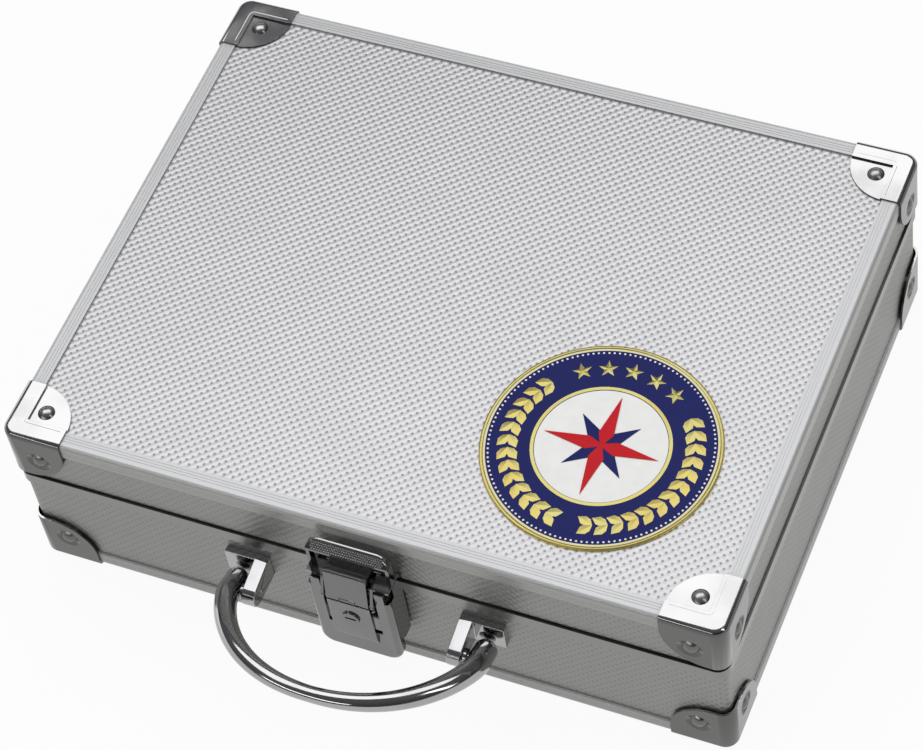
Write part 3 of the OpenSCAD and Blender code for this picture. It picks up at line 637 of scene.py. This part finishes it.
def makeKnurl(s):
    # pointed studs in staggered rows on the tab's sloping face
    low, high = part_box("latch_lever")
    innerFace = s["caseFront"] + s["leverFace"]
    upper = Vector((0, innerFace - s["inner"], high.z - s["upper"]))
    lower = Vector((0, innerFace - s["outer"], high.z - s["lower"]))
    normal = Vector((0, -(upper.z - lower.z), -(lower.y - upper.y))).normalized()
    pitch = 2 * s["halfWidth"] / s["across"]
    bm = bmesh.new()
    for row in range(s["rows"]):
        for i in range(s["across"] - row % 2):
            x = -s["halfWidth"] + (i + 0.5 + 0.5 * (row % 2)) * pitch
            spot = upper.lerp(lower, (row + 0.5) / s["rows"])
            along = (lower - upper) / s["rows"] * s["studLength"]
            corners = [bm.verts.new(spot + Vector((x + dx * pitch * s["studWidth"], 0, 0)) + along * dy)
                       for dx, dy in ((1, 0), (0, 1), (-1, 0), (0, -1))]
            peak = bm.verts.new(spot + Vector((x, 0, 0)) + normal * s["height"])
            for a, b in zip(corners, corners[1:] + corners[:1]):
                bm.faces.new((a, b, peak))
            bm.faces.new(corners[::-1])
    finishPiece("tab_knurl", bm, knurled, "lever", 10)


makeKnurl(knurlSettings)
print("knurl made")


# badge

badgeSettings = {
    # lengths on the face are shares of the badge's radius where they carry no mm
    "rim": 1.3 * mm,
    "rimRise": 0.25 * mm,  # above the enamel
    "rounds": 128,
    "beadCount": 132,
    "beadRing": 0.925,
    "beadSize": 0.42 * mm,
    "beadFlat": 0.4,
    "ringOuter": 0.582,
    "ringInner": 0.553,
    "ringRise": 0.08 * mm,
    "navyUnder": 0.2 * mm,  # how far the navy runs under the gold ring
    "navyRise": 0.02 * mm,
    "lineInner": 0.948,
    "artHeight": 0.06 * mm,
    "laurelRing": 0.765,
    "leafPairs": 13,  # on each side
    "leafFirst": 52,  # degrees from the top
    "leafTurn": 9.4,
    "leafLean": 34.1,
    "leafLength": 5.6 * mm,
    "leafWidth": 3.4 * mm,
    "leafRib": 0.22 * mm,
    "starAngles": (-32, -16, 0, 16, 32),
    "starOuter": 3.3 * mm,
    "starInner": 1.35 * mm,
    "starHeight": 0.3 * mm,
    # the crossed middle stars: name, enamel, turn in degrees, outer radius, height above the art
    "crossed": [
        ("badge_star_navy", "navy", 45, 0.36, 0.05 * mm),
        ("badge_star_red", "red", 0, 0.50, 0.12 * mm),
    ],
    "crossedInner": 0.105,
    "crossedHeight": 0.35 * mm,
    "gold": (0.74, 0.68, 0.26, 1),
    "warmGold": (0.78, 0.64, 0.20, 1),
    "navy": (0.014, 0.018, 0.13, 1),
    "red": (0.60, 0.012, 0.02, 1),
    "white": (0.92, 0.92, 0.91, 1),
    "cream": (0.85, 0.80, 0.50, 1),
}


def enamelMaterial(name, colour, roughness=0.35, deepShare=0.88, specular=0.12):
    material, tree, shader, place = newMaterial(name, colour, 0.0, roughness)
    mottle = noise(tree, place, scale=260, detail=3)
    deep = [channel * deepShare for channel in colour[:3]] + [1]
    connect(tree, mixColour(tree, mottle, deep, colour), shader.inputs["Base Color"])
    shader.inputs["Specular IOR Level"].default_value = specular
    return material


def goldMaterial(name, colour, warm, metal=0.9, roughness=0.3, polished=0.26, marksAmount=0.1):
    material, tree, shader, place = newMaterial(name, colour, metal, roughness)
    tone = smoothRange(tree, noise(tree, place, scale=60, detail=2), 0.35, 0.65)
    connect(tree, mixColour(tree, tone, colour, warm), shader.inputs["Base Color"])
    marks = useGroup(tree, handlingGroup, Vector=place, Roughness=polished, Amount=marksAmount)
    connect(tree, marks["Roughness"], shader.inputs["Roughness"])
    return material


gold = goldMaterial("badge gold", badgeSettings["gold"], badgeSettings["warmGold"])
enamels = {}
for tone in ("navy", "red", "white", "cream"):
    enamels[tone] = enamelMaterial(tone + " enamel", badgeSettings[tone])


def spunRing(bm, profile, centre, steps):
    # profile is a closed line of (radius, height) points
    verts = [bm.verts.new((centre.x + r, centre.y, centre.z + h)) for r, h in profile]
    edges = [bm.edges.new((a, b)) for a, b in zip(verts, verts[1:] + verts[:1])]
    bmesh.ops.spin(bm, geom=verts + edges, cent=centre, axis=(0, 0, 1), angle=2 * math.pi, steps=steps,
                   use_merge=True, use_duplicate=False)


def flatRing(bm, inner, outer, low, high, centre, steps):
    spunRing(bm, [(inner, low), (outer, low), (outer, high), (inner, high)], centre, steps)


def leaf(bm, centre, ring, angle, lean, top, s):
    # a pointed leaf that starts on the ring; the midrib is raised
    turn = Matrix.Rotation(math.radians(angle), 4, "Z")
    spot = centre + turn @ Vector((0, ring, top))
    tilt = Matrix.Rotation(math.radians(angle + lean), 4, "Z")
    outline = [(0, 0), (0.30, 0.42), (0.62, 0.46), (1, 0), (0.62, -0.46), (0.30, -0.42)]
    length, width = s["leafLength"], s["leafWidth"]
    rim = [bm.verts.new(spot + tilt @ Vector((x * length, y * width, 0))) for x, y in outline]
    rib = bm.verts.new(spot + tilt @ Vector((length / 2, 0, s["leafRib"])))
    for a, b in zip(rim, rim[1:] + rim[:1]):
        bm.faces.new((a, b, rib))
    bm.faces.new(rim[::-1])


def star(bm, spot, points, outer, inner, height, turn):
    rim = []
    for i in range(2 * points):
        r = inner if i % 2 else outer
        angle = math.radians(90 + turn) + math.pi * i / points
        rim.append(bm.verts.new(spot + Vector((r * math.cos(angle), r * math.sin(angle), 0))))
    peak = bm.verts.new(spot + Vector((0, 0, height)))
    for a, b in zip(rim, rim[1:] + rim[:1]):
        bm.faces.new((a, b, peak))
    bm.faces.new(rim[::-1])


def finishBadge(name, bm, material, sharp=35.0):
    return finishPiece(name, bm, material, "lid", sharp)


def makeBadge(s):
    low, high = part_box("badge")
    centre = Vector(((low.x + high.x) / 2, (low.y + high.y) / 2, low.z))
    radius = (high.x - low.x) / 2
    thick = high.z - low.z
    face = thick - s["rimRise"]
    art = face + s["artHeight"]
    rim, rounds = s["rim"], s["rounds"]
    ringInner, lineInner = radius * s["ringInner"], radius * s["lineInner"]

    bm = bmesh.new()
    rounded = [(radius - rim, 0), (radius - 0.15 * mm, 0), (radius, 0.3 * mm),
               (radius - 0.1 * mm, thick * 0.8), (radius - rim * 0.35, thick), (radius - rim * 0.7, thick),
               (radius - rim, face)]
    spunRing(bm, rounded, centre, rounds)
    flatRing(bm, ringInner, radius * s["ringOuter"], face, art + s["ringRise"], centre, rounds)
    goldPiece = finishBadge("badge_gold", bm, gold)

    bm = bmesh.new()
    flatRing(bm, lineInner, radius - rim, 0, art, centre, rounds)
    finishBadge("badge_line", bm, enamels["cream"])

    bm = bmesh.new()
    flatRing(bm, ringInner - s["navyUnder"], lineInner, 0, face + s["navyRise"], centre, rounds)
    finishBadge("badge_navy", bm, enamels["navy"])

    bm = bmesh.new()
    disc = Matrix.Translation(centre + Vector((0, 0, face / 2)))
    bmesh.ops.create_cone(bm, cap_ends=True, segments=rounds, radius1=ringInner, radius2=ringInner,
                          depth=face, matrix=disc)
    finishBadge("badge_white", bm, enamels["white"])

    bm = bmesh.new()
    ring = radius * s["beadRing"]
    for i in range(s["beadCount"]):
        angle = 2 * math.pi * i / s["beadCount"]
        spot = centre + Vector((ring * math.cos(angle), ring * math.sin(angle), face))
        flattened = Matrix.Translation(spot) @ Matrix.Diagonal((1, 1, s["beadFlat"], 1))
        bmesh.ops.create_icosphere(bm, subdivisions=1, radius=s["beadSize"], matrix=flattened)
    finishBadge("badge_beads", bm, enamels["white"], 60)

    bm = bmesh.new()
    ring = radius * s["laurelRing"]
    for side in (-1, 1):
        for i in range(s["leafPairs"]):
            angle = side * (s["leafFirst"] + s["leafTurn"] * i)
            for lean in (s["leafLean"], -s["leafLean"]):
                leaf(bm, centre, ring, angle, 180 * (side > 0) - side * lean, art, s)
    for angle in s["starAngles"]:
        spot = centre + Matrix.Rotation(math.radians(angle), 4, "Z") @ Vector((0, ring, art))
        star(bm, spot, 5, s["starOuter"], s["starInner"], s["starHeight"], angle)
    finishBadge("badge_laurel", bm, gold, 10)

    for name, tone, turn, outer, lift in s["crossed"]:
        bm = bmesh.new()
        spot = centre + Vector((0, 0, art + lift))
        star(bm, spot, 4, radius * outer, radius * s["crossedInner"], s["crossedHeight"], turn)
        finishBadge(name, bm, enamels[tone], 10)
    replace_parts(goldPiece, "badge")


makeBadge(badgeSettings)
print("badge made")


# linings and trays

liningSettings = {
    "edge": 0.5 * mm,
    "walls": {"base": 1.2 * mm, "lid": 0.8 * mm},
}


def makeLining(node, body, openEnds, s):
    # a box of thin board with its top, or its top and bottom, open
    low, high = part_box(node)
    bm = bmesh.new()
    addBox(bm, low, high)
    ends = [f for f in bm.faces if f.normal.z > 0.5 or (openEnds == 2 and f.normal.z < -0.5)]
    bmesh.ops.delete(bm, geom=ends, context="FACES")
    upright = [e for e in bm.edges if abs(e.verts[0].co.z - e.verts[1].co.z) > mm]
    bmesh.ops.bevel(bm, geom=upright, offset=s["edge"], offset_type="OFFSET", affect="EDGES", segments=3,
                    profile=0.5, material=-1)
    bmesh.ops.recalc_face_normals(bm, faces=bm.faces)
    bmesh.ops.solidify(bm, geom=bm.faces[:], thickness=s["walls"][body])
    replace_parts(finishPiece(node + "_cloth", bm, velvet, body), node)


makeLining("base_lining", "base", 1, liningSettings)
makeLining("lid_lining", "lid", 2, liningSettings)

traySettings = {
    "across": 5,
    "back": 4,
    "rib": 3.4 * mm,
    "depth": 3.6 * mm,
    "corner": 1.6 * mm,
    "cornerSteps": 5,
    "weld": 0.01 * mm,
    "edge": 0.45 * mm,
    "edgeSteps": 2,
    "edgeAngle": 50,  # degrees
}


def makeTray(node, s):
    low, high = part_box(node)
    size = high - low
    rib = s["rib"]
    bm = bmesh.new()
    pitch = ((size.x - rib) / s["across"], (size.y - rib) / s["back"])
    pocket = min(pitch) - rib
    # each cell is a pocket with a flat border; the outer cells reach the tray's sides
    for i in range(s["across"]):
        for j in range(s["back"]):
            x0 = low.x + rib / 2 + i * pitch[0] if i else low.x
            x1 = low.x + rib / 2 + (i + 1) * pitch[0] if i < s["across"] - 1 else high.x
            y0 = low.y + rib / 2 + j * pitch[1] if j else low.y
            y1 = low.y + rib / 2 + (j + 1) * pitch[1] if j < s["back"] - 1 else high.y
            cx = low.x + rib / 2 + (i + 0.5) * pitch[0]
            cy = low.y + rib / 2 + (j + 0.5) * pitch[1]
            spot = Matrix.Translation((cx, cy, high.z)) @ Matrix.Scale(pocket / 2, 4)
            made = bmesh.ops.create_grid(bm, x_segments=1, y_segments=1, size=1, matrix=spot)
            bmesh.ops.bevel(bm, geom=made["verts"], offset=s["corner"], offset_type="OFFSET",
                            affect="VERTICES", segments=s["cornerSteps"], profile=0.5, material=-1)
            square = max((f for f in bm.faces if abs(f.calc_center_median().x - cx) < mm
                          and abs(f.calc_center_median().y - cy) < mm), key=lambda f: f.calc_area())
            rim = list(square.edges)
            corners = [bm.verts.new((x, y, high.z)) for x, y in ((x0, y0), (x1, y0), (x1, y1), (x0, y1))]
            frameEdges = [bm.edges.new((a, b)) for a, b in zip(corners, corners[1:] + corners[:1])]
            bmesh.ops.triangle_fill(bm, edges=rim + frameEdges, use_beauty=True, normal=(0, 0, 1))
            down = bmesh.ops.extrude_discrete_faces(bm, faces=[square])["faces"][0]
            bmesh.ops.translate(bm, verts=down.verts[:], vec=(0, 0, -s["depth"]))
    bmesh.ops.remove_doubles(bm, verts=bm.verts, dist=s["weld"])
    border = [e for e in bm.edges if e.is_boundary]
    walls = bmesh.ops.extrude_edge_only(bm, edges=border)["geom"]
    skirt = [v for v in walls if isinstance(v, bmesh.types.BMVert)]
    for vert in skirt:
        vert.co.z = low.z
    bmesh.ops.edgeloop_fill(bm, edges=[e for e in bm.edges if e.is_boundary])
    tray = finishPiece(node + "_flocked", bm, flock, "base")
    rounding = tray.modifiers.new("soft edges", "BEVEL")
    rounding.width = s["edge"]
    rounding.segments = s["edgeSteps"]
    rounding.limit_method = "ANGLE"
    rounding.angle_limit = math.radians(s["edgeAngle"])
    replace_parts(tray, node)


for name in sorted(nodes):
    if name.startswith("coin_tray"):
        makeTray(name, traySettings)
print("lining and trays made")


# lid pad: quilted foam, swollen by a short cloth simulation

padSettings = {
    "voxel": 3.2 * mm,
    "start": 0.6 * mm,  # how much smaller the foam starts
    "cap": 1.6 * mm,  # the most that the swelling may move a point
    "pressure": 4.0,
    "quality": 4,
    "frames": 20,
    "quilt": 38 * mm,
    "channel": 2.4 * mm,
    "channelWidth": 4.5 * mm,
    "border": 9 * mm,  # the channels fade out towards the pad's edge
}


def swell(piece, s):
    # pressure pushes the skin out; no point may move further than the cap
    rest = [v.co.copy() for v in piece.data.vertices]
    cloth = piece.modifiers.new("foam", "CLOTH")
    cloth.settings.use_pressure = True
    cloth.settings.uniform_pressure_force = s["pressure"]
    cloth.settings.effector_weights.gravity = 0
    cloth.settings.quality = s["quality"]
    cloth.point_cache.frame_start = 1
    cloth.point_cache.frame_end = s["frames"]
    for moment in range(1, s["frames"] + 1):
        scene.frame_set(moment)
    shaped = piece.evaluated_get(bpy.context.evaluated_depsgraph_get())
    moved = [v.co.copy() for v in shaped.data.vertices]
    piece.modifiers.remove(cloth)
    scene.frame_set(1)
    for vert, before, after in zip(piece.data.vertices, rest, moved):
        shift = after - before
        if shift.length > s["cap"]:
            shift *= s["cap"] / shift.length
        vert.co = before + shift


def makeLidPad(s):
    low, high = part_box("lid_pad")
    inset = Vector((1, 1, 1)) * s["start"]
    bm = bmesh.new()
    addBox(bm, low + inset, high - inset)
    bmesh.ops.subdivide_edges(bm, edges=bm.edges[:], cuts=1, use_grid_fill=True)
    piece = finishPiece("lid_foam", bm, velvet, "lid", 80)
    remesh = piece.modifiers.new("even", "REMESH")
    remesh.mode = "VOXEL"
    remesh.voxel_size = s["voxel"]
    even = bpy.data.meshes.new_from_object(piece.evaluated_get(bpy.context.evaluated_depsgraph_get()))
    piece.modifiers.remove(remesh)
    piece.data = even
    swell(piece, s)
    middle = (low + high) / 2
    for vert in piece.data.vertices:
        # flat against the lid, quilted in diamonds below, and kept inside the space it has
        co = vert.co
        if co.z > middle.z:
            co.z = min(co.z, high.z)
        else:
            u = (co.x - middle.x + co.y - middle.y) / s["quilt"]
            v = (co.x - middle.x - co.y + middle.y) / s["quilt"]
            seam = min(abs(u - round(u)), abs(v - round(v))) * s["quilt"]
            edge = min(co.x - low.x, high.x - co.x, co.y - low.y, high.y - co.y)
            fade = min(1, max(0, edge / s["border"]))
            co.z = max(co.z, low.z) + s["channel"] * math.exp(-(seam / s["channelWidth"]) ** 2) * fade
        co.x = min(max(co.x, low.x), high.x)
        co.y = min(max(co.y, low.y), high.y)
    piece.data.materials.clear()
    piece.data.materials.append(velvet)
    piece.data.shade_smooth()
    soft = piece.modifiers.new("soft", "SUBSURF")
    soft.levels = soft.render_levels = 1
    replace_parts(piece, "lid_pad")


makeLidPad(padSettings)
print("lid pad made")


# floor, world and lamps

stageSettings = {
    "floorSize": 5.0,
    "floorLevel": -0.2 * mm,
    "floorColour": (0.86, 0.86, 0.86, 1),
    "glow": 0.93,  # share of plain white in the floor as the camera and the metal see it
    "lamps": [
        # name, azimuth, elevation, distance, width, height, radiance
        ("back softbox", 211, 67, 1.5, 2.2, 1.1, 1.05),
        ("front strip", 340, 24, 1.4, 1.3, 0.16, 3.0),
        ("right strip", 80, 35, 1.3, 0.15, 0.8, 3.0),
    ],
    "worldLevel": 0.62,
    # what metal mirrors of the sky: height of the direction above the horizon, colour
    "mirrored": [(0.02, (1, 1, 1, 1)), (0.12, (0.07, 0.07, 0.075, 1))],
}


def makeFloor(s):
    bm = bmesh.new()
    bmesh.ops.create_grid(bm, x_segments=1, y_segments=1, size=s["floorSize"])
    mesh = bpy.data.meshes.new("floor")
    bm.to_mesh(mesh)
    bm.free()
    floor = bpy.data.objects.new("floor", mesh)
    floor.location.z = s["floorLevel"]
    scene.collection.objects.link(floor)
    material = bpy.data.materials.new("pale floor")
    material.use_nodes = True
    tree = material.node_tree
    tree.nodes.clear()
    matte = addNode(tree, "ShaderNodeBsdfDiffuse")
    matte.inputs["Color"].default_value = s["floorColour"]
    white = addNode(tree, "ShaderNodeEmission")
    white.inputs["Strength"].default_value = 1.0
    rays = addNode(tree, "ShaderNodeLightPath")
    seen = calc(tree, "MAXIMUM", rays.outputs["Is Camera Ray"], rays.outputs["Is Glossy Ray"])
    seen = calc(tree, "MAXIMUM", seen, rays.outputs["Is Transmission Ray"])
    mix = addNode(tree, "ShaderNodeMixShader")
    connect(tree, calc(tree, "MULTIPLY", seen, s["glow"]), mix.inputs[0])
    connect(tree, matte.outputs[0], mix.inputs[1])
    connect(tree, white.outputs[0], mix.inputs[2])
    out = addNode(tree, "ShaderNodeOutputMaterial")
    connect(tree, mix.outputs[0], out.inputs[0])
    mesh.materials.append(material)


def makeWorld(s):
    world = bpy.data.worlds.new("studio")
    scene.world = world
    world.use_nodes = True
    tree = world.node_tree
    tree.nodes.clear()
    direction = addNode(tree, "ShaderNodeTexCoord").outputs["Generated"]
    split = addNode(tree, "ShaderNodeSeparateXYZ")
    connect(tree, direction, split.inputs[0])
    ramp = addNode(tree, "ShaderNodeValToRGB")
    for element, (position, colour) in zip(ramp.color_ramp.elements, s["mirrored"]):
        element.position = position
        element.color = colour
    connect(tree, split.outputs[2], ramp.inputs[0])
    rays = addNode(tree, "ShaderNodeLightPath")
    plain = (s["worldLevel"],) * 3 + (1,)
    shown = mixColour(tree, rays.outputs["Is Glossy Ray"], plain, ramp.outputs[0])
    shown = mixColour(tree, rays.outputs["Is Camera Ray"], shown, (1, 1, 1, 1))
    background = addNode(tree, "ShaderNodeBackground")
    connect(tree, shown, background.inputs["Color"])
    out = addNode(tree, "ShaderNodeOutputWorld")
    connect(tree, background.outputs[0], out.inputs[0])


def makeLamps(s):
    low, high = cadBox
    aim = (Vector(low) + Vector(high)) / 2
    for name, azimuth, elevation, distance, width, height, radiance in s["lamps"]:
        data = bpy.data.lights.new(name, "AREA")
        data.shape = "RECTANGLE"
        data.size = width
        data.size_y = height
        data.energy = radiance * math.pi * width * height
        lamp = bpy.data.objects.new(name, data)
        a, e = math.radians(azimuth), math.radians(elevation)
        away = Vector((math.sin(a) * math.cos(e), -math.cos(a) * math.cos(e), math.sin(e)))
        lamp.location = aim + away * distance
        lamp.rotation_mode = "QUATERNION"
        lamp.rotation_quaternion = (-away).to_track_quat("-Z", "Y")
        scene.collection.objects.link(lamp)


makeFloor(stageSettings)
makeWorld(stageSettings)
makeLamps(stageSettings)
print("stage and lamps made")
